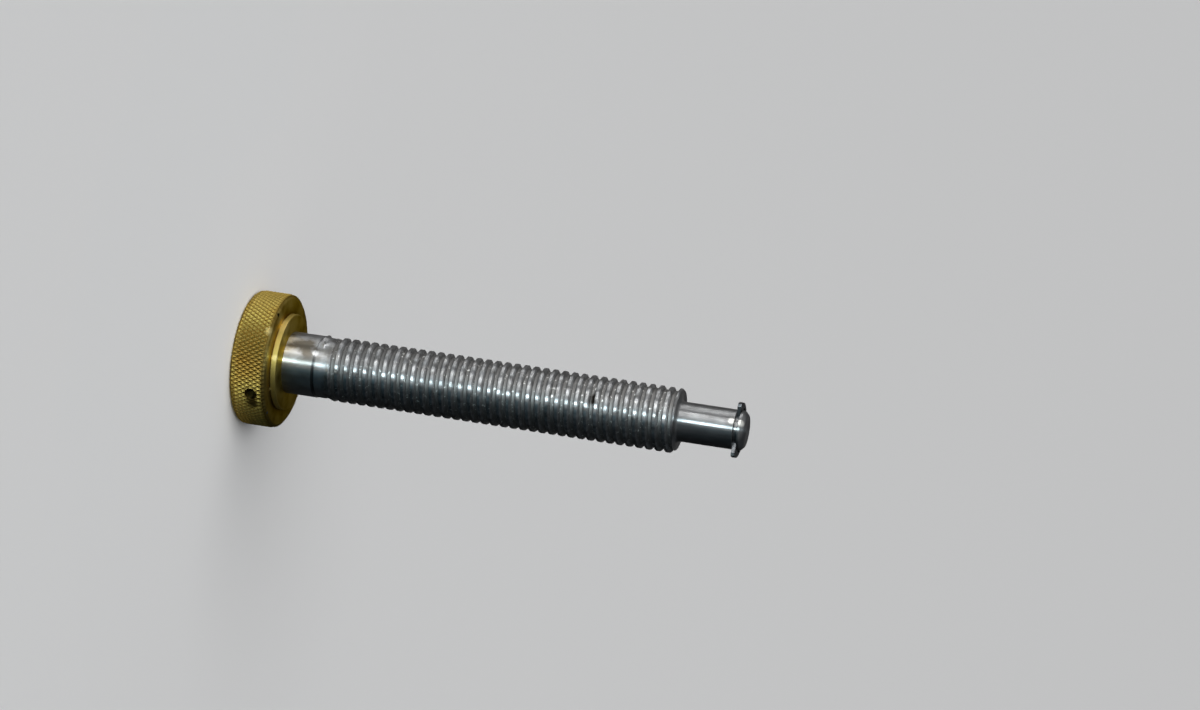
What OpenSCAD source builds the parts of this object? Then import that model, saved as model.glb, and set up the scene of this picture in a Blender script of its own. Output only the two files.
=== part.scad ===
// Thumb screw: a knurled brass knob on a steel screw that ends in a plain pivot with a retaining clip.
// It stands on the knob's outer face, with the screw's axis along +Z. All sizes are in millimetres.

/* [Knob] */
// Diameter over the knurl
knob_d = 26.8; // [24:0.2:34]
// Thickness of the knurled rim
knob_t = 7.1; // [6:0.1:9]
// Bevel on both edges of the rim
knob_bevel = 0.5; // [0.2:0.05:0.8]
// Knurl ridges round the rim, the same in both directions
knurl_n = 92; // [60:2:100]
// Depth of the knurl
knurl_depth = 0.3; // [0.1:0.02:0.4]
// Angle between the knurl ridges and the screw's axis
knurl_angle = 30; // [25:1:40]
// Diameter of the stepped hub under the shank
hub_d = 19.2; // [16:0.1:20]
// Length of the hub
hub_t = 1.15; // [0.8:0.05:4]
// Bevel on the hub's edge
hub_bevel = 0.2; // [0.1:0.05:0.4]
// Brass left between the knob's blind bore and its outer face
knob_floor = 1.6; // [1:0.1:1.8]

/* [Screw] */
// Diameter of the spigot that the knob is fixed on
spigot_d = 9.5; // [8:0.1:10.5]
// Diameter of the plain shank
shank_d = 12.3; // [11.8:0.1:14]
// Length of the plain shank between the hub and the relief
shank_l = 6.3; // [3:0.05:20]
// Width of the narrow relief between the shank and the thread's collar
relief_w = 0.45; // [0.3:0.05:0.8]
// Depth of the relief below the collar
relief_depth = 0.15; // [0.1:0.05:0.3]
// Length of the plain collar before the thread starts
collar_l = 1.25; // [0.5:0.05:4]
// Outside diameter of the thread
thread_d = 12.7; // [12.4:0.1:14]
// Thread turns to the inch
thread_tpi = 13; // [12:1:13]
// Length of the thread with its collar
thread_l = 72.7; // [20:0.1:80]
// Diameter of the plain pivot at the tip
pivot_d = 7.8; // [7:0.1:8.4]
// Length of the pivot with its groove and bevelled end
pivot_l = 13.3; // [8:0.1:24]
// Bevel on the pivot's end
pivot_bevel = 0.7; // [0.3:0.05:0.9]
// Length of the cone where the pivot leaves the thread
pivot_root = 0.5; // [0.2:0.05:0.6]
// Land left between the clip's groove and the pivot's end
pivot_land = 1.2; // [1:0.05:2]

/* [Retaining clip] */
// Outside diameter of the clip
clip_d = 10.8; // [10.2:0.1:13]
// Thickness of the clip's sheet
clip_t = 0.7; // [0.5:0.05:1]
// Depth of the groove in the pivot
groove_depth = 0.95; // [0.6:0.05:1.1]
// Half of the angle that the clip leaves open
clip_mouth = 65; // [58:1:72]
// Direction that the clip's open side faces
clip_turn = -90; // [-180:1:180]

/* [Grub screw] */
// Diameter of the grub screw in the rim's cross hole
grub_d = 2.4; // [1.8:0.1:2.8]
// Length of the grub screw
grub_l = 5; // [3.5:0.1:6]
// Hexagon socket, measured across its flats
grub_socket = 1.2; // [0.9:0.05:1.3]
// Distance of the cross hole from the rim's middle, towards the hub
grub_offset = 0.9; // [0:0.1:1]
// Direction of the cross hole round the rim
grub_turn = -57; // [-180:1:180]

/* [Fits] */
// Clearance all round the spigot and the clip's seat
fit_play = 0.02; // [0.01:0.01:0.06]
// Clearance all round the grub screw
grub_play = 0.05; // [0.02:0.01:0.1]
// Room past the end of the spigot, and beside the clip in its groove
end_play = 0.1; // [0.05:0.05:0.2]

/* [Hidden] */
$fn = 96;

// Heights along the axis, from the knob's outer face
hub_top = knob_t + hub_t;
shank_top = hub_top + shank_l;
collar_z = shank_top + relief_w;
thread_top = collar_z + thread_l;
pivot_top = thread_top + pivot_l;
groove_w = clip_t + end_play;
groove_z = pivot_top - pivot_land - groove_w;

// Knurl form: ridges of one hand cross those of the other, so that each cell is a low pyramid
knurl_r = knob_d / 2 - knurl_depth;
knurl_h = knob_t - 2 * knob_bevel;
knurl_cols = 2 * knurl_n;
knurl_rows = 2 * max(1, round(knurl_h * tan(knurl_angle) * knurl_n / (PI * knob_d)));
rim_sink = 0.05;

// Thread form: sixty degree flanks, with worn crests and shallow roots that are both 5/16 of the pitch wide
pitch = 25.4 / thread_tpi;
crest_r = thread_d / 2;
flank_w = 3 / 16 * pitch;
root_r = crest_r - flank_w / tan(30);
profile = [[0, root_r], [5 / 16, root_r], [8 / 16, crest_r], [13 / 16, crest_r], [1, root_r]];
steps = 24;
thread_z = collar_z + collar_l;
thread_n = ceil((thread_top - thread_z) / pitch * steps);
start_r = min(shank_d / 2, crest_r) - 0.1;
end_r = crest_r - 0.7;
thread_turn = -90;

// Grub screw: it bears on the flat bottom of a spot drilled in the spigot
hole_d = grub_d + 2 * grub_play;
grub_z = knob_t / 2 + grub_offset;
spot_r = spigot_d / 2 - 0.4;
socket_depth = 1.2;

// Retaining clip: its three lands bear on the groove's floor
groove_r = pivot_d / 2 - groove_depth;
seat_r = groove_r + fit_play;

function ring_point(r, a, z) = [r * cos(a), r * sin(a), z];

// One corner of the knurl: the first and last rows stay at the foot of the ridges
function knurl_point(row, col) =
    let (
        edge = row == 0 || row == knurl_rows,
        peak = !edge && (row + col) % 2 == 1
    )
    ring_point(
        knurl_r + (peak ? knurl_depth : 0),
        360 * col / knurl_cols,
        knob_bevel + knurl_h * row / knurl_rows
    );

function knurl_at(row, col) = row * knurl_cols + col % knurl_cols;

module knurl_band() {
    last = knurl_cols - 1;
    points = [
        for (row = [0 : knurl_rows], col = [0 : last]) knurl_point(row, col)
    ];
    cells = [
        for (row = [0 : knurl_rows - 1], col = [0 : last])
            let (
                a = knurl_at(row, col),
                b = knurl_at(row, col + 1),
                c = knurl_at(row + 1, col + 1),
                d = knurl_at(row + 1, col)
            )
            each (row + col) % 2 == 0 ? [[a, d, c], [a, c, b]] : [[a, d, b], [b, d, c]]
    ];
    ends = [
        [for (col = [0 : last]) knurl_at(0, col)],
        [for (col = [last : -1 : 0]) knurl_at(knurl_rows, col)]
    ];
    polyhedron(points, concat(cells, ends));
}

// One corner of the thread: step k along the helix, corner m of the profile.
// The groove deepens over its first turn, the end is bevelled, and what lies past the end is cut off there.
function thread_point(k, m) =
    let (
        z = thread_z + pitch * (k / steps + profile[m][0]),
        past = z >= thread_top,
        turn = (thread_top - thread_z) / pitch - (k % steps) / steps,
        full = past ? lookup(turn - floor(turn), profile) : profile[m][1],
        faded = start_r + (full - start_r) * min(1, k / steps),
        end = min(z, thread_top)
    )
    ring_point(min(faded, end_r + thread_top - end), 360 * k / steps, end);

// Corner 4 of a step is corner 0 of the next turn
function thread_at(k, m) =
    m == 4 ? thread_at(k + steps, 0) :
    k <= thread_n ? 4 * k + m :
    4 * (thread_n + 1) + k - thread_n - 1;

// The edge of the collar, which draws back from the groove as it deepens
function lip_point(k) =
    ring_point(start_r, 360 * k / steps, thread_z + (pitch - flank_w) * k / steps);

// The threaded length as one solid, from the collar's flat side to the flat end at the pivot
module thread() {
    n = thread_n;
    last = steps - 1;
    start = 4 * (n + 1) + steps;
    lip = start + steps;
    points = [
        for (k = [0 : n], m = [0 : 3]) thread_point(k, m),
        for (k = [n + 1 : n + steps]) thread_point(k, 0),
        for (j = [0 : last]) ring_point(start_r, 360 * j / steps, collar_z),
        for (j = [0 : last]) lip_point(j)
    ];
    turns = [
        for (k = [0 : n - 1], m = [0 : 3])
            let (
                a = thread_at(k, m),
                b = thread_at(k, m + 1),
                c = thread_at(k + 1, m + 1),
                d = thread_at(k + 1, m)
            )
            each [[a, b, c], [a, c, d]]
    ];
    collar = [
        for (j = [0 : last - 1])
            let (a = start + j, b = j == 0 ? thread_at(0, 0) : lip + j, c = lip + j + 1)
            each [[a, b, c], [a, c, a + 1]]
    ];
    first_flank = [
        [thread_at(0, 0), thread_at(1, 0), lip + 1],
        for (j = [1 : last - 1])
            let (a = lip + j, b = thread_at(j, 0), c = thread_at(j + 1, 0))
            each [[a, b, c], [a, c, a + 1]]
    ];
    side = [
        thread_at(last, 0),
        for (m = [4 : -1 : 0]) thread_at(0, m),
        start,
        start + last
    ];
    seam = [
        for (i = [0 : 6]) [lip + last, side[i], side[i + 1]]
    ];
    caps = [
        [for (j = [0 : last]) start + j],
        [for (j = [last : -1 : 0]) thread_at(n + j, 0)]
    ];
    polyhedron(points, concat(turns, collar, first_flank, seam, caps));
}

// Places what it holds with its own +Z pointing out along the cross hole
module along_cross_hole(r) {
    rotate([0, 0, grub_turn])
        translate([r, 0, grub_z])
            rotate([0, 90, 0])
                children();
}

module knob() {
    rim_r = knurl_r - rim_sink;
    bevel = knob_bevel + rim_sink;
    color("goldenrod")
        difference() {
            union() {
                knurl_band();
                rotate_extrude()
                    polygon([
                        [0, 0],
                        [rim_r - bevel, 0],
                        [rim_r, bevel],
                        [rim_r, knob_t - bevel],
                        [rim_r - bevel, knob_t],
                        [hub_d / 2, knob_t],
                        [hub_d / 2, hub_top - hub_bevel],
                        [hub_d / 2 - hub_bevel, hub_top],
                        [0, hub_top]
                    ]);
            }
            translate([0, 0, knob_floor])
                cylinder(d = spigot_d + 2 * fit_play, h = hub_top);
            along_cross_hole(0)
                cylinder(d = hole_d, h = knob_d);
        }
}

module screw() {
    spigot_z = knob_floor + end_play;
    spigot_bevel = 0.5;
    core_r = root_r - 0.4;
    pivot_r = pivot_d / 2;
    color("silver")
        union() {
            difference() {
                rotate_extrude()
                    polygon([
                        [0, spigot_z],
                        [spigot_d / 2 - spigot_bevel, spigot_z],
                        [spigot_d / 2, spigot_z + spigot_bevel],
                        [spigot_d / 2, hub_top],
                        [shank_d / 2, hub_top],
                        [shank_d / 2, shank_top],
                        [start_r - relief_depth, shank_top],
                        [start_r - relief_depth, collar_z + 0.1],
                        [core_r, collar_z + 0.1],
                        [core_r, thread_top - 0.2],
                        [pivot_r + pivot_root + 0.2, thread_top - 0.2],
                        [pivot_r, thread_top + pivot_root],
                        [pivot_r, groove_z],
                        [groove_r, groove_z],
                        [groove_r, groove_z + groove_w],
                        [pivot_r, groove_z + groove_w],
                        [pivot_r, pivot_top - pivot_bevel],
                        [pivot_r - pivot_bevel, pivot_top],
                        [0, pivot_top]
                    ]);
                along_cross_hole(spot_r)
                    cylinder(d = hole_d, h = spigot_d);
            }
            rotate([0, 0, thread_turn])
                thread();
        }
}

module retaining_clip() {
    clip_r = clip_d / 2;
    jaw = 0.87 * groove_r;
    tip = [sqrt(groove_r * groove_r - jaw * jaw), jaw];
    corner = clip_r * [cos(clip_mouth), sin(clip_mouth)];
    shoulder = tip + 0.8 * (corner - tip);
    far = 1.2 * clip_r * [cos(clip_mouth + 9), sin(clip_mouth + 9)];
    relief_r = 0.28 * clip_r;
    color("dimgray")
        translate([0, 0, groove_z])
            rotate([0, 0, clip_turn])
                linear_extrude(clip_t)
                    difference() {
                        circle(r = clip_r);
                        circle(r = seat_r);
                        for (side = [-1, 1])
                            rotate(side * 118)
                                translate([0.6 * clip_r, 0])
                                    circle(r = relief_r);
                        polygon([
                            [0, -jaw],
                            [tip.x, -tip.y],
                            [shoulder.x, -shoulder.y],
                            [far.x, -far.y],
                            [2 * clip_r, -far.y],
                            [2 * clip_r, far.y],
                            [far.x, far.y],
                            [shoulder.x, shoulder.y],
                            [tip.x, tip.y],
                            [0, jaw]
                        ]);
                    }
}

module grub_screw() {
    bevel = 0.3;
    color("gray")
        along_cross_hole(spot_r)
            difference() {
                rotate_extrude()
                    polygon([
                        [0, 0],
                        [grub_d / 2 - bevel, 0],
                        [grub_d / 2, bevel],
                        [grub_d / 2, grub_l - bevel],
                        [grub_d / 2 - bevel, grub_l],
                        [0, grub_l]
                    ]);
                translate([0, 0, grub_l - socket_depth])
                    cylinder(d = grub_socket / cos(30), h = socket_depth + 1, $fn = 6);
            }
}

knob();
screw();
retaining_clip();
grub_screw();
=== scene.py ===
# Thumb screw: a knurled brass knob on a steel screw, with a retaining clip on the pivot at its tip.
# It stands on the knob's outer face, with the screw's axis along +Z and the camera's side at -Y.
import math

import bmesh
import bpy
from mathutils import Matrix, Vector, noise


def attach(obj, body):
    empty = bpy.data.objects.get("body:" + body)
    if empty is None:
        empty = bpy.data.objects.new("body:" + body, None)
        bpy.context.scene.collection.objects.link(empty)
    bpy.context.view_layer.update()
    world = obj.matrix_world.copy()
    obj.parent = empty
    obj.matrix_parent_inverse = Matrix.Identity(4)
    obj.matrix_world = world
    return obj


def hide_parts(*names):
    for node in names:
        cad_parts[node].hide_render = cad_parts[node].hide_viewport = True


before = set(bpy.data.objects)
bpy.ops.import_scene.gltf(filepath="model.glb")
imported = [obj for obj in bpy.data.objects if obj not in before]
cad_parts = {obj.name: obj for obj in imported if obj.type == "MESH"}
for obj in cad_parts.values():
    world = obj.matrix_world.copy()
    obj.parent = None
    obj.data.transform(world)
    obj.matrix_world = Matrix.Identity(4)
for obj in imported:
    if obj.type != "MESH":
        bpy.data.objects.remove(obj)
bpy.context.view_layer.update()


# Knob: turned from brass bar in one piece with its stepped hub, knurled on the rim, then bevelled
# on both edges. It is bored blind for the screw's spigot and drilled across for a grub screw.
mm = 0.001
knob_r = 13.4 * mm
knob_t = 7.1 * mm
knob_bevel = 0.5 * mm
knurl_n = 92
knurl_rows = 8
knurl_depth = 0.3 * mm
knurl_foot_r = knob_r - knurl_depth
knurl_h = knob_t - 2 * knob_bevel
hub_r = 9.6 * mm
hub_top = 8.25 * mm
hub_bevel = 0.2 * mm
hub_soft = 0.06 * mm
hub_fillet = 0.08 * mm
bore_r = 4.77 * mm
bore_z = 1.6 * mm
bore_bevel = 0.15 * mm
face_r = knurl_foot_r - knob_bevel
face_ring_r = 5 * mm
face_soft = 0.05 * mm
bevel_soft = 0.06 * mm
hole_r = 1.25 * mm
hole_z = 4.45 * mm
hole_turn = -57
hole_reach = 10 * mm
hole_depth = 12 * mm


def polyline(bm, points):
    """Joins points, given as radius and height, into a line of edges in the XZ plane."""
    verts = [bm.verts.new((r, 0, z)) for r, z in points]
    edges = [bm.edges.new(pair) for pair in zip(verts, verts[1:])]
    return verts, edges


def turn_profile(bm, points, steps):
    """Spins a profile from axis to axis round Z, as on a lathe, and welds its seam and poles."""
    verts, edges = polyline(bm, points)
    bmesh.ops.spin(
        bm, geom=verts + edges, cent=(0, 0, 0), axis=(0, 0, 1),
        angle=2 * math.pi, steps=steps, use_merge=True,
    )
    bmesh.ops.remove_doubles(bm, verts=bm.verts, dist=1e-6)
    bmesh.ops.recalc_face_normals(bm, faces=bm.faces)


def radius(co):
    return math.hypot(co.x, co.y)


def set_radius(vert, r):
    scale = r / radius(vert.co)
    vert.co.x *= scale
    vert.co.y *= scale


def on_round(r, degrees, z):
    """A point given by radius, turn round Z and height."""
    return Vector((r * math.cos(math.radians(degrees)), r * math.sin(math.radians(degrees)), z))


def near(co, centre, size):
    """1 at a centre, fading to 0 at a distance of size from it."""
    return max(0, 1 - (co - centre).length / size)


def shade(bm, sharp):
    """Smooth faces, with hard edges where two faces meet at more than the given angle."""
    for face in bm.faces:
        face.smooth = True
    for edge in bm.edges:
        edge.smooth = len(edge.link_faces) == 2 and edge.calc_face_angle() < sharp


def new_piece(name, bm):
    mesh = bpy.data.meshes.new(name)
    bm.to_mesh(mesh)
    bm.free()
    piece = bpy.data.objects.new(name, mesh)
    bpy.context.scene.collection.objects.link(piece)
    return piece


bm = bmesh.new()
turn_profile(bm, [
    (0, 0),
    (face_ring_r, 0),
    (face_r - face_soft, 0),
    (face_r + bevel_soft, face_soft),
    *[(knurl_foot_r, knob_bevel + knurl_h * row / knurl_rows) for row in range(knurl_rows + 1)],
    (face_r + bevel_soft, knob_t - face_soft),
    (face_r - face_soft, knob_t),
    (hub_r + hub_fillet, knob_t),
    (hub_r, knob_t + hub_fillet),
    (hub_r, hub_top - hub_bevel),
    (hub_r - hub_soft, hub_top - hub_soft),
    (hub_r - hub_bevel, hub_top),
    (bore_r + bore_bevel, hub_top),
    (bore_r, hub_top - bore_bevel),
    (bore_r, bore_z),
    (0, bore_z),
], 2 * knurl_n)

# the knurl: every other crossing is pulled out into a pyramid, and each square is split along its valley
touching = 0.01 * mm
peaks = set()
for vert in bm.verts:
    row = round((vert.co.z - knob_bevel) / knurl_h * knurl_rows)
    col = round(math.atan2(vert.co.y, vert.co.x) / math.pi * knurl_n)
    if radius(vert.co) > knurl_foot_r - touching and (row + col) % 2:
        peaks.add(vert)
for face in {face for vert in peaks for face in vert.link_faces}:
    low = [vert for vert in face.verts if vert not in peaks]
    if len(low) == 2:
        bmesh.utils.face_split(face, *low)

# the points stand lower along the two bevels, and are crushed at one place beside the cross hole
edge_drop = 0.12 * mm
crush = on_round(knurl_foot_r, -47.5, 4.6 * mm)
crush_size = 1.5 * mm
crush_depth = 0.25 * mm
crush_spread = 1.6
for vert in peaks:
    at_edge = min(vert.co.z, knob_t - vert.co.z) < knob_bevel + touching
    crushed = min(1, crush_spread * near(vert.co, crush, crush_size))
    set_radius(vert, knob_r - crush_depth * crushed - edge_drop * at_edge)
shade(bm, math.radians(25))
for vert in peaks:
    for face in vert.link_faces:
        face.smooth = False
knob = new_piece("brass_knob", bm)

cutter_bm = bmesh.new()
bmesh.ops.create_cone(
    cutter_bm, cap_ends=True, segments=40, radius1=hole_r, radius2=hole_r, depth=hole_depth,
    matrix=Matrix.Rotation(math.radians(hole_turn), 4, "Z") @ Matrix.Translation((hole_reach, 0, hole_z))
    @ Matrix.Rotation(math.pi / 2, 4, "Y"),
)
cutter = new_piece("cross_drill", cutter_bm)
drilling = knob.modifiers.new("cross_hole", "BOOLEAN")
drilling.operation = "DIFFERENCE"
drilling.solver = "EXACT"
drilling.object = cutter
drilled = bpy.data.meshes.new_from_object(knob.evaluated_get(bpy.context.evaluated_depsgraph_get()))
knob.modifiers.clear()
knob.data = drilled
bpy.data.objects.remove(cutter)


def node(tree, kind, **settings):
    """Adds a shader node, and sets its properties and its unlinked inputs by name."""
    made = tree.nodes.new(kind)
    for key, value in settings.items():
        if key in made.bl_rna.properties:
            setattr(made, key, value)
        else:
            made.inputs[key.replace("_", " ")].default_value = value
    return made


def full_color(color):
    """A colour with its alpha, from a number for a grey or from red, green and blue."""
    if isinstance(color, (int, float)):
        color = (color, color, color)
    return (*color, 1)


def metal(name, color, roughness, anisotropy):
    """A metal with fine tool marks round Z, and its shader, place, distance from Z and height."""
    material = bpy.data.materials.new(name)
    material.use_nodes = True
    tree = material.node_tree
    shader = tree.nodes["Principled BSDF"]
    shader.inputs["Base Color"].default_value = full_color(color)
    shader.inputs["Metallic"].default_value = 1
    shader.inputs["Roughness"].default_value = roughness
    shader.inputs["Anisotropic"].default_value = anisotropy
    shader.inputs["Anisotropic Rotation"].default_value = 0.25
    place = node(tree, "ShaderNodeTexCoord").outputs["Object"]
    round_z = node(tree, "ShaderNodeVectorMath", operation="CROSS_PRODUCT")
    round_z.inputs[0].default_value = (0, 0, 1)
    tree.links.new(place, round_z.inputs[1])
    tree.links.new(round_z.outputs[0], shader.inputs["Tangent"])
    flat = node(tree, "ShaderNodeVectorMath", operation="MULTIPLY")
    flat.inputs[1].default_value = (1, 1, 0)
    tree.links.new(place, flat.inputs[0])
    reach = node(tree, "ShaderNodeVectorMath", operation="LENGTH")
    tree.links.new(flat.outputs[0], reach.inputs[0])
    height = node(tree, "ShaderNodeSeparateXYZ")
    tree.links.new(place, height.inputs[0])
    return material, shader, place, reach.outputs["Value"], height.outputs["Z"]


def ramp(tree, value, low, high, stops):
    """Colours or greys along a value, from low to high, as stops of position and colour."""
    scaled = node(tree, "ShaderNodeMapRange", From_Min=low, From_Max=high)
    tree.links.new(value, scaled.inputs["Value"])
    made = node(tree, "ShaderNodeValToRGB")
    elements = made.color_ramp.elements
    while len(elements) < len(stops):
        elements.new(0.5)
    for element, (position, color) in zip(elements, stops):
        element.position = position
        element.color = full_color(color)
    tree.links.new(scaled.outputs[0], made.inputs["Fac"])
    return made.outputs["Color"]


def grain(tree, place, scale, stretch=(1, 1, 1), detail=3):
    """Noise whose cells are 1/scale of a metre wide, stretched along the three axes."""
    stretched = node(tree, "ShaderNodeMapping")
    stretched.inputs["Scale"].default_value = stretch
    tree.links.new(place, stretched.inputs["Vector"])
    made = node(tree, "ShaderNodeTexNoise", Scale=scale, Detail=detail)
    tree.links.new(stretched.outputs[0], made.inputs["Vector"])
    return made.outputs["Fac"]


def blend(tree, mask, first, second, kind="MIX"):
    """The first colour where a mask is black, and the second where it is white."""
    made = node(tree, "ShaderNodeMix", data_type="RGBA", blend_type=kind)
    for socket, value in (("Factor_Float", mask), ("A_Color", first), ("B_Color", second)):
        entry = next(entry for entry in made.inputs if entry.identifier == socket)
        if isinstance(value, bpy.types.NodeSocket):
            tree.links.new(value, entry)
        else:
            entry.default_value = value if entry.type == "VALUE" else full_color(value)
    return made.outputs[2]


def both(tree, first, second):
    """A mask that is white where two masks are."""
    return blend(tree, 1.0, first, second, "MULTIPLY")


def spot(tree, place, centre, size):
    """A mask that is white at a centre and fades to black at a distance of size from it."""
    away = node(tree, "ShaderNodeVectorMath", operation="DISTANCE")
    away.inputs[1].default_value = centre
    tree.links.new(place, away.inputs[0])
    return ramp(tree, away.outputs["Value"], 0.4 * size, size, [(0, 1), (1, 0)])


brass, shader, place, reach, height = metal("worn_brass", (0.5, 0.4, 0.13), 0.36, 0.5)
tree = brass.node_tree
face_tone = ramp(tree, grain(tree, place, 260), 0.3, 0.7, [
    (0, (0.3, 0.2, 0.045)),
    (0.5, (0.5, 0.375, 0.105)),
    (1, (0.62, 0.49, 0.16)),
])

# the knurl is polished on its points and brown in its valleys, with browner patches
patina_brown = (0.34, 0.2, 0.035)
rim_tone = ramp(tree, reach, knurl_foot_r, knob_r, [
    (0, (0.26, 0.175, 0.04)),
    (0.35, (0.39, 0.285, 0.07)),
    (0.8, (0.48, 0.36, 0.1)),
    (1, (0.6, 0.47, 0.16)),
])
patches = ramp(tree, grain(tree, place, 230), 0.45, 0.7, [(0, 0), (1, 0.55)])
rim_tone = blend(tree, patches, rim_tone, patina_brown)
on_rim = ramp(tree, reach, knurl_foot_r - 0.25 * mm, knurl_foot_r - 0.05 * mm, [(0, 0), (1, 1)])
tone = blend(tree, on_rim, face_tone, rim_tone)

# the hub's side is paler, and shade is painted into the corner between the hub and the face
hub_gold = (0.56, 0.43, 0.13)
corner_shade_brown = (0.16, 0.09, 0.02)
on_hub = ramp(tree, height, knob_t + 0.1 * mm, knob_t + 0.25 * mm, [(0, 0), (1, 1)])
at_hub_side = ramp(tree, reach, hub_r - 0.3 * mm, hub_r - 0.15 * mm, [(0, 0), (1, 1)])
hub_side = both(tree, on_hub, at_hub_side)
tone = blend(tree, hub_side, tone, hub_gold)
corner = ramp(tree, reach, hub_r, hub_r + 1.6 * mm, [(0, 1), (0.35, 0.5), (1, 0)])
on_face = ramp(tree, height, knob_t - 0.3 * mm, knob_t + 0.25 * mm, [(0, 0), (0.45, 1), (0.6, 1), (1, 0)])
# painted shade in the corner between the hub and the face
tone = blend(tree, both(tree, corner, on_face), tone, corner_shade_brown)

# dirt in the crushed spot and round the cross hole, then rubbed and stained spots on the face, and painted
# highlights on the rim's bevel and on the hub's side
for centre, size, color in (
    (crush, 1.2 * mm, (0.17, 0.11, 0.03)),
    (on_round(knurl_foot_r, hole_turn, hole_z), 1.9 * mm, (0.13, 0.08, 0.02)),
    # a painted highlight on the rim's upper bevel
    (on_round(knob_r - 0.2 * mm, -115, 6.7 * mm), 1.1 * mm, (0.72, 0.58, 0.24)),
    (on_round(12.6 * mm, -135, knob_t), 0.6 * mm, (0.02, 0.016, 0.008)),
    (on_round(12.5 * mm, -34, knob_t), 0.4 * mm, (0.3, 0.36, 0.45)),
    (on_round(9.8 * mm, -54, knob_t), 0.5 * mm, (0.9, 0.75, 0.35)),
    # painted highlights on the hub's side
    (on_round(hub_r, -138, 7.5 * mm), 2.2 * mm, (0.7, 0.54, 0.19)),
    (on_round(hub_r, -93, 7.8 * mm), 0.8 * mm, (0.75, 0.6, 0.26)),
):
    tone = blend(tree, spot(tree, place, centre, size), tone, color)
tree.links.new(tone, shader.inputs["Base Color"])

knurl_rough = 0.56
hub_rough = 0.6
wear = ramp(tree, grain(tree, place, 900), 0.3, 0.7, [(0, 0.3), (1, 0.42)])
wear = blend(tree, on_rim, wear, knurl_rough)
wear = blend(tree, hub_side, wear, hub_rough)
tree.links.new(wear, shader.inputs["Roughness"])
shader.inputs["Specular Tint"].default_value = (0.8, 0.62, 0.25, 1)
knob.data.materials.clear()
knob.data.materials.append(brass)
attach(knob, "root")
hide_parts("knob")


# Screw: turned from steel bar in one piece. A spigot inside the knob, a plain shank, a relief and a
# collar, a right-hand thread cut with a die, and a plain pivot with a groove for the clip.
spigot_r = 4.75 * mm
spigot_z = 1.7 * mm
spigot_bevel = 0.5 * mm
shank_r = 6.15 * mm
shank_top = 14.55 * mm
relief_r = 5.9 * mm
collar_z = 15.0 * mm
collar_r = 6.05 * mm
thread_z = 16.25 * mm
thread_top = 87.7 * mm
pitch = 25.4 / 13 * mm
flat_share = 2.5 / 16
flank_share = 3 / 16
flank_angle = math.radians(30)
corner_share = 0.08
crest_r = 6.35 * mm
root_r = crest_r - flank_share * pitch / math.tan(flank_angle)
thread_turn = math.radians(-90)
thread_end_r = crest_r - 0.3 * mm
thread_steps = 72
pivot_r = 3.9 * mm
pivot_top = 101.0 * mm
pivot_fillet = 0.5 * mm
pivot_bevel = 0.75 * mm
groove_z = 99.0 * mm
groove_w = 0.8 * mm
groove_r = 2.95 * mm
edge_soft = 0.05 * mm
shank_soft = 0.06 * mm
fillet_soft = 0.18 * mm
end_soft = 0.07 * mm
end_run = 0.62 * mm

# rows across one pitch, as shares of it from the middle of the groove
half_rows = [0.1, 0.145, 0.17, 0.25, 0.325, 0.36, 0.41]
thread_rows = [-0.5, *[-share for share in reversed(half_rows)], 0, *half_rows, 0.5]


def within(low, value, high):
    return max(low, min(high, value))


def groove_depth(share):
    """Depth of the thread's groove, from 0 on the crest to 1 at the root, with rounded corners."""
    slope = (flat_share + flank_share - abs(share)) / flank_share
    return within(0, (slope + corner_share) / (1 + 2 * corner_share), 1)


# one turn of the thread's rows is spun along the helix, and copied for the other turns
bm = bmesh.new()
first_turn = -1.5
turns = math.ceil((thread_top - thread_z) / pitch - first_turn + 0.5)
start_z = thread_z + pitch * (flat_share + first_turn)
verts, edges = polyline(bm, [(crest_r, start_z + pitch * share) for share in thread_rows])
bmesh.ops.rotate(
    bm, verts=verts, cent=(0, 0, 0),
    matrix=Matrix.Rotation(thread_turn + 2 * math.pi * (first_turn % 1), 3, "Z"),
)
bmesh.ops.spin(
    bm, geom=verts + edges, cent=(0, 0, 0), axis=(0, 0, 1), dvec=(0, 0, pitch / thread_steps),
    angle=2 * math.pi, steps=thread_steps,
)
one_turn = [*bm.verts, *bm.edges, *bm.faces]
for turn in range(1, turns):
    copy = bmesh.ops.duplicate(bm, geom=one_turn)["geom"]
    copied = [part for part in copy if isinstance(part, bmesh.types.BMVert)]
    bmesh.ops.translate(bm, verts=copied, vec=(0, 0, turn * pitch))
bmesh.ops.remove_doubles(bm, verts=bm.verts, dist=5e-6)

# burrs that the die left on the collar, and a nick where it started
burrs = [
    (on_round(collar_r, -163, 15.2 * mm), 1.3 * mm),
    (on_round(collar_r, -176, 15.4 * mm), 1.2 * mm),
    (on_round(collar_r, -138, 15.9 * mm), 0.9 * mm),
]
burr_height = 0.6 * mm
burr_grain = 3200
burr_lift = 0.7
nick = on_round(collar_r, 178, 16.5 * mm)
nick_size = 1.2 * mm
nick_depth = 0.7 * mm
nick_spread = 2

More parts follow.
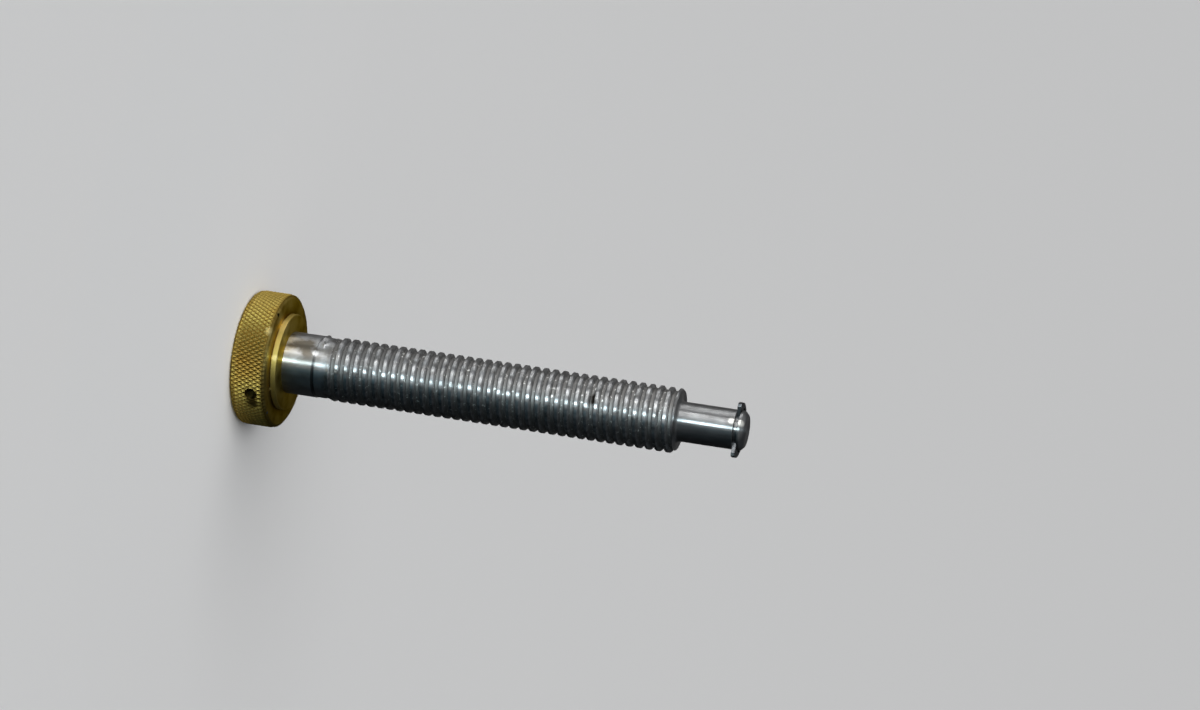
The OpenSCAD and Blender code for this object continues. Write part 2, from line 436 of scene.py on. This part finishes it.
# the rows take the groove's depth, which runs in over the first turn, and the bevel at the far end;
# the collar stays straight for half a pitch and widens to the crest over the next half
for vert in bm.verts:
    round_share = (math.atan2(vert.co.y, vert.co.x) - thread_turn) % (2 * math.pi) / (2 * math.pi)
    pitches_up = (vert.co.z - thread_z) / pitch
    share = pitches_up - flat_share - round_share
    turns_in = round(share) + round_share
    outer = collar_r + (crest_r - collar_r) * within(0, 2 * pitches_up - 1, 1)
    cut = within(0, turns_in, 1) * groove_depth(share - round(share))
    r = outer - cut * (outer - root_r)
    burr = max(near(vert.co, centre, size) for centre, size in burrs)
    r += burr_height * burr * (burr_lift + noise.noise(vert.co * burr_grain))
    r -= nick_depth * min(1, nick_spread * near(vert.co, nick, nick_size))
    set_radius(vert, min(r, thread_end_r + max(0, thread_top - vert.co.z)))
for cut_z, outwards in ((collar_z, -1), (thread_top, 1)):
    bmesh.ops.bisect_plane(
        bm, geom=[*bm.verts, *bm.edges, *bm.faces], plane_co=(0, 0, cut_z), plane_no=(0, 0, outwards),
        clear_outer=True,
    )


def turn_on(bm, start, points):
    """Goes on from the open ring at a height through points of radius and height, and closes the end."""
    ring = [edge for edge in bm.edges if edge.is_boundary and abs(edge.verts[0].co.z - start) < 1e-6]
    for r, z in points:
        grown = bmesh.ops.extrude_edge_only(bm, edges=ring)["geom"]
        ring = [part for part in grown if isinstance(part, bmesh.types.BMEdge)]
        for vert in {vert for edge in ring for vert in edge.verts}:
            set_radius(vert, r)
            vert.co.z = z
    bmesh.ops.edgeloop_fill(bm, edges=ring)


turn_on(bm, collar_z, [
    (relief_r, collar_z),
    (relief_r, shank_top),
    (shank_r - shank_soft, shank_top),
    (shank_r, shank_top - shank_soft),
    (shank_r, hub_top + edge_soft),
    (shank_r - edge_soft, hub_top),
    (spigot_r, hub_top),
    (spigot_r, spigot_z + spigot_bevel),
    (spigot_r - spigot_bevel, spigot_z),
])
turn_on(bm, thread_top, [
    (pivot_r + pivot_fillet, thread_top),
    (pivot_r + fillet_soft, thread_top + fillet_soft),
    (pivot_r, thread_top + pivot_fillet),
    (pivot_r, groove_z - edge_soft),
    (pivot_r - edge_soft, groove_z),
    (groove_r, groove_z),
    (groove_r, groove_z + groove_w),
    (pivot_r - edge_soft, groove_z + groove_w),
    (pivot_r, groove_z + groove_w + edge_soft),
    (pivot_r, pivot_top - pivot_bevel),
    (pivot_r - end_soft, pivot_top - end_run),
    (pivot_r - end_run, pivot_top - end_soft),
    (pivot_r - pivot_bevel, pivot_top),
])
bmesh.ops.recalc_face_normals(bm, faces=bm.faces)
shade(bm, math.radians(40))
screw = new_piece("steel_screw", bm)

# bright, mottled crests between duller turned bar at both ends, with the torn grooves darker
steel, shader, place, reach, height = metal("turned_steel", (0.45, 0.45, 0.46), 0.35, 1)
tree = steel.node_tree
groove_grey = (0.205, 0.2, 0.195)
crest_tone = ramp(tree, grain(tree, place, 900, (1, 1, 0.6), 8), 0.32, 0.68, [
    (0, (0.26, 0.255, 0.25)), (0.5, (0.44, 0.445, 0.45)), (1, (0.61, 0.62, 0.63)),
])
bar_tone = ramp(tree, grain(tree, place, 600, (1, 1, 0.5), 8), 0.3, 0.7, [
    (0, 0.45), (1, (0.64, 0.65, 0.66)),
])
dulled = ramp(tree, height, thread_z, thread_top, [(0, 1), (1, 0.55)])
threaded = ramp(tree, height, thread_z, thread_top, [(0, 0), (0.01, 1), (0.999, 1), (1, 0)])
bar_tone = blend(tree, 1.0, bar_tone, dulled, "MULTIPLY")
tone = blend(tree, threaded, bar_tone, crest_tone)
valley = ramp(tree, reach, root_r + 0.05 * mm, root_r + 0.4 * mm, [(0, 1), (1, 0)])
in_groove = both(tree, valley, threaded)
tone = blend(tree, in_groove, tone, groove_grey)

# brown mottling on the upper side of the shank, part stain marks and part a painted reflection of the brass
# hub, and painted shade in the relief on its near side
stain_and_reflection_brown = (0.19, 0.165, 0.125)
relief_shade_grey = 0.13
on_shank = spot(tree, place, on_round(shank_r, -140, 11.5 * mm), 8 * mm)
stains_and_reflections = ramp(tree, grain(tree, place, 420, (1, 1, 0.7), 6), 0.42, 0.6, [(0, 0), (1, 0.9)])
# the mottling is partly a painted reflection of the brass hub, on the lit upper side only
tone = blend(tree, both(tree, stains_and_reflections, on_shank), tone, stain_and_reflection_brown)
in_relief = ramp(tree, height, shank_top - 0.35 * mm, collar_z, [(0, 0), (0.25, 1), (0.65, 1), (1, 0)])
near_side = spot(tree, place, on_round(shank_r, -66, 14.5 * mm), 6 * mm)
# painted shade in the relief, on its near side only
tone = blend(tree, both(tree, in_relief, near_side), tone, relief_shade_grey)

# painted glints as bright flecks all along the thread, then single painted highlights, and painted shade for
# a notch in one groove
glint_speck_white = (0.85, 0.85, 0.82)
painted_highlight_white = (0.95, 0.95, 0.9)
notch_shade_black = (0.015, 0.012, 0.01)
# painted glints along the thread
painted_glint_specks = ramp(tree, grain(tree, place, 1700), 0.62, 0.7, [(0, 0), (1, 1)])
tone = blend(tree, both(tree, painted_glint_specks, threaded), tone, glint_speck_white)
for centre, size, color in (
    # a painted highlight on the collar
    (on_round(collar_r, -115, 14.65 * mm), 0.8 * mm, 0.95),
    # painted shade standing in for a notch in the groove
    (on_round(root_r, -103, 71.6 * mm), 1.0 * mm, notch_shade_black),
    (on_round(root_r, -112, 71.55 * mm), 1.0 * mm, notch_shade_black),
    # painted highlights on two crests and on the pivot
    (on_round(crest_r, -42, 72.2 * mm), 0.5 * mm, painted_highlight_white),
    (on_round(crest_r, -53, 42.5 * mm), 0.5 * mm, painted_highlight_white),
    (on_round(pivot_r, -115, 98.5 * mm), 0.8 * mm, painted_highlight_white),
    (on_round(pivot_r - 0.3 * mm, -112, 100.4 * mm), 0.9 * mm, painted_highlight_white),
):
    tone = blend(tree, spot(tree, place, centre, size), tone, color)
tree.links.new(tone, shader.inputs["Base Color"])

# turned bar and crests shine in lines along the screw, and the grooves are rough all ways
groove_rough = 0.5
bar_marks = 0.93
crest_marks = 1
groove_marks = 0.3
scuffs = grain(tree, place, 700)
turned = ramp(tree, scuffs, 0.3, 0.7, [(0, 0.3), (1, 0.4)])
die_cut = ramp(tree, scuffs, 0.3, 0.7, [(0, 0.28), (1, 0.42)])
finish = blend(tree, threaded, turned, die_cut)
finish = blend(tree, in_groove, finish, groove_rough)
tree.links.new(finish, shader.inputs["Roughness"])
marks = blend(tree, threaded, bar_marks, crest_marks)
marks = blend(tree, in_groove, marks, groove_marks)
tree.links.new(marks, shader.inputs["Anisotropic"])
lines = node(tree, "ShaderNodeBump", Strength=0.3, Distance=0.02 * mm)
tree.links.new(grain(tree, place, 300, (1, 1, 40)), lines.inputs["Height"])
tree.links.new(lines.outputs[0], shader.inputs["Normal"])
screw.data.materials.append(steel)
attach(screw, "root")
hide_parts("screw")


# Retaining clip: stamped from spring steel sheet and pushed on from the side, with its open mouth
# towards the camera. It sits in the pivot's groove and keeps its dark rolled finish.
spring, shader, place, *_ = metal("spring_steel", (0.26, 0.27, 0.28), 0.38, 0)
tree = spring.node_tree
tree.links.new(ramp(tree, grain(tree, place, 900), 0.3, 0.7, [
    (0, (0.08, 0.08, 0.085)), (1, (0.22, 0.225, 0.23)),
]), shader.inputs["Base Color"])
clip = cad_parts["retaining_clip"]
clip.data.materials.clear()
clip.data.materials.append(spring)


# Grub screw: a small headless screw of blackened steel, deep in the rim's cross hole. Its end bears
# on the spigot and keeps the knob from turning on the screw.
blackened, shader, place, *_ = metal("blackened_steel", (0.06, 0.055, 0.05), 0.5, 0)
tree = blackened.node_tree
tree.links.new(ramp(tree, grain(tree, place, 1500), 0.3, 0.7, [
    (0, (0.03, 0.025, 0.02)), (1, (0.1, 0.08, 0.06)),
]), shader.inputs["Base Color"])
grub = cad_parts["grub_screw"]
grub.data.materials.clear()
grub.data.materials.append(blackened)


# Floor: a plain pale sheet under the part, much wider than the picture,
# matt and without a pattern.
bm = bmesh.new()
bmesh.ops.create_grid(bm, x_segments=1, y_segments=1, size=4)
floor = new_piece("floor", bm)
pale = bpy.data.materials.new("pale_floor")
pale.use_nodes = True
shader = pale.node_tree.nodes["Principled BSDF"]
shader.inputs["Base Color"].default_value = full_color(0.75)
shader.inputs["Roughness"].default_value = 0.9
floor.data.materials.append(pale)


# Lights: tall soft boxes on the side that is up in the picture, which draw the rows of highlights on
# the screw, a wide soft light from above for the floor, and a dim room.
screw_middle = Vector((0, 0, 0.055))


def soft_box(name, centre, width, tall, power, color):
    """A lit rectangle that faces the screw and shows only in the metal."""
    light = bpy.data.lights.new(name, "AREA")
    light.shape = "RECTANGLE"
    light.size = width
    light.size_y = tall
    light.energy = power
    light.color = color
    lamp = bpy.data.objects.new(name, light)
    bpy.context.scene.collection.objects.link(lamp)
    facing = (screw_middle - Vector(centre)).to_track_quat("-Z", "Z")
    lamp.matrix_world = Matrix.LocRotScale(Vector(centre), facing, None)
    lamp.visible_camera = False
    lamp.visible_diffuse = False


soft_box("line_strip", (-0.054, -0.5, 0.05), 0.07, 0.34, 1.85, (0.75, 0.94, 1))
soft_box("fill_strip", (-0.258, -0.429, 0.1), 0.16, 0.3, 0.36, (0.95, 0.99, 1))
soft_box("side_strip", (-0.37, -0.33, 0.1), 0.035, 0.3, 0.48, (1, 1, 1))
soft_box("back_strip", (-0.492, 0.005, 0.1), 0.03, 0.3, 0.32, (1, 1, 1))
sky_light = bpy.data.lights.new("overhead", "SUN")
sky_light.energy = 1.9
sky_light.angle = math.radians(50)
overhead = bpy.data.objects.new("overhead", sky_light)
overhead.visible_glossy = False
overhead.matrix_world = Vector((-0.35, -0.3, 1)).to_track_quat("Z", "Y").to_matrix().to_4x4()
bpy.context.scene.collection.objects.link(overhead)

# a dark card seen only in the metal: it lies round the screw, and rises on the side away from the lights
card_z = 0.2 * mm
card_start = -78
card_end = 150
bm = bmesh.new()
for start, end, steps, outline in (
    (card_start, card_end, 48, [(16 * mm, card_z), (90 * mm, card_z), (130 * mm, 140 * mm)]),
    (card_end, card_start + 360, 28, [(45 * mm, card_z), (100 * mm, card_z)]),
):
    verts, edges = polyline(bm, outline)
    bmesh.ops.rotate(bm, verts=verts, cent=(0, 0, 0), matrix=Matrix.Rotation(math.radians(start), 3, "Z"))
    bmesh.ops.spin(
        bm, geom=verts + edges, cent=(0, 0, 0), axis=(0, 0, 1), angle=math.radians(end - start), steps=steps,
    )
card = new_piece("dark_card", bm)
glow = bpy.data.materials.new("card_glow")
glow.use_nodes = True
tree = glow.node_tree
shader = tree.nodes["Principled BSDF"]
shader.inputs["Base Color"].default_value = full_color(0)
shader.inputs["Specular IOR Level"].default_value = 0
shader.inputs["Emission Strength"].default_value = 1
round_card = node(tree, "ShaderNodeTexGradient", gradient_type="RADIAL")
tree.links.new(node(tree, "ShaderNodeTexCoord").outputs["Object"], round_card.inputs[0])
tree.links.new(ramp(tree, round_card.outputs["Fac"], 0.5 + card_start / 360, 0.5 + card_end / 360, [
    (0, (0.1, 0.17, 0.2)),
    (0.09, (0.025, 0.048, 0.061)),
    (0.16, (0.016, 0.029, 0.037)),
    (0.3, (0.01, 0.015, 0.018)),
    (0.44, (0.012, 0.013, 0.014)),
    (0.61, (0.012, 0.013, 0.014)),
    (0.72, 0.08),
    (0.83, 0.16),
    (1, 0.18),
]), shader.inputs["Emission Color"])
card.data.materials.append(glow)
card.visible_camera = False
card.visible_diffuse = False
card.visible_shadow = False

# the room is brightest low down on the side of the soft boxes
room_side = (-0.56, -0.75, -0.35)
world = bpy.data.worlds.new("room")
world.use_nodes = True
tree = world.node_tree
towards = node(tree, "ShaderNodeVectorMath", operation="DOT_PRODUCT")
towards.inputs[1].default_value = room_side
tree.links.new(node(tree, "ShaderNodeTexCoord").outputs["Generated"], towards.inputs[0])
tree.links.new(ramp(tree, towards.outputs["Value"], -1, 1, [
    (0, (0.05, 0.055, 0.06)),
    (0.3, (0.09, 0.095, 0.1)),
    (0.5, (0.34, 0.345, 0.35)),
    (0.87, 0.4),
    (1, 0.56),
]), tree.nodes["Background"].inputs["Color"])
bpy.context.scene.world = world


# Camera: a long lens, turned on its side so that the screw lies across the picture as it does in the
# photo, and a little above the knob's side.
picture_w = 1200
focal_px = 3731.59
eye = Vector((-10.385, -705.636, 237.217)) * mm
right = Vector((-0.14656, 0.2279, 0.96259)).normalized()
back = Vector((0, -0.9731, 0.23039)).normalized()
camera_data = bpy.data.cameras.new("camera")
camera_data.sensor_width = 36
camera_data.lens = focal_px / picture_w * camera_data.sensor_width
camera = bpy.data.objects.new("camera", camera_data)
bpy.context.scene.collection.objects.link(camera)
axes = Matrix((right, back.cross(right), back)).transposed()
camera.matrix_world = Matrix.LocRotScale(eye, axes.to_quaternion(), None)
bpy.context.scene.camera = camera
bpy.context.scene.view_settings.view_transform = "Standard"

bpy.context.view_layer.update()
